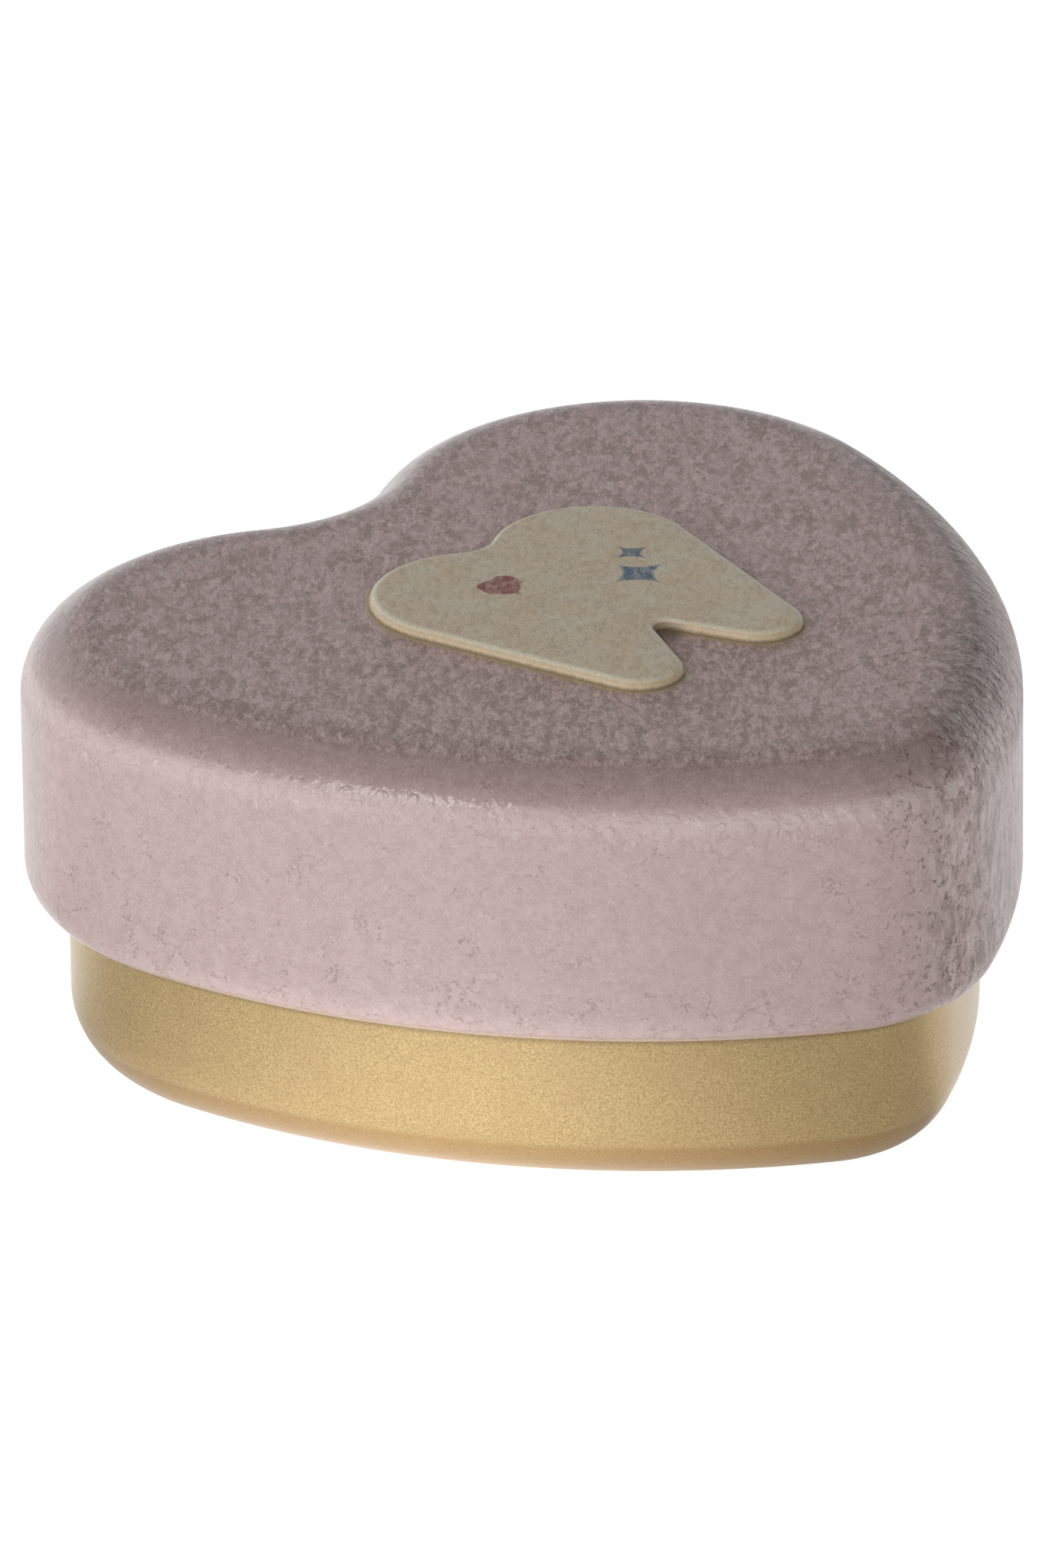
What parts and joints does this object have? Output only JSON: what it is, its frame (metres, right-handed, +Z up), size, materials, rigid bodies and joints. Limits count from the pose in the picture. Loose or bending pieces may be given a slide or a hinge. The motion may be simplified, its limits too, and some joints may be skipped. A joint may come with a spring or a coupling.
{
  "type": "heart-shaped tin with slip lid",
  "caption": "Small heart-shaped tinplate keepsake box for milk teeth: drawn base, lift-off slip lid with a raised tooth.",
  "frame": {"origin": "on the table, under the middle of the lid's outline", "axes": "+X across the heart's lobes, +Y towards the cleft between them, +Z up"},
  "size_m": [0.054, 0.0504, 0.0251],
  "materials": {
    "base_gold": "satin gold lacquer with a fine speckle",
    "lid_lacquer": "semi-gloss dusty mauve lacquer, mottled and finely crackled",
    "tooth_enamel": "beige enamel over the raised tooth"
  },
  "bodies": {
    "base": {"base_shell": "base_gold"},
    "lid": {"lid_shell": "lid_lacquer", "tooth_enamel": "tooth_enamel"}
  },
  "joints": [
    {"name": "lid_lift", "type": "slide", "parent": "base", "child": "lid", "axis": [0, 0, 1], "range_m": [0, 0.04]}
  ]
}
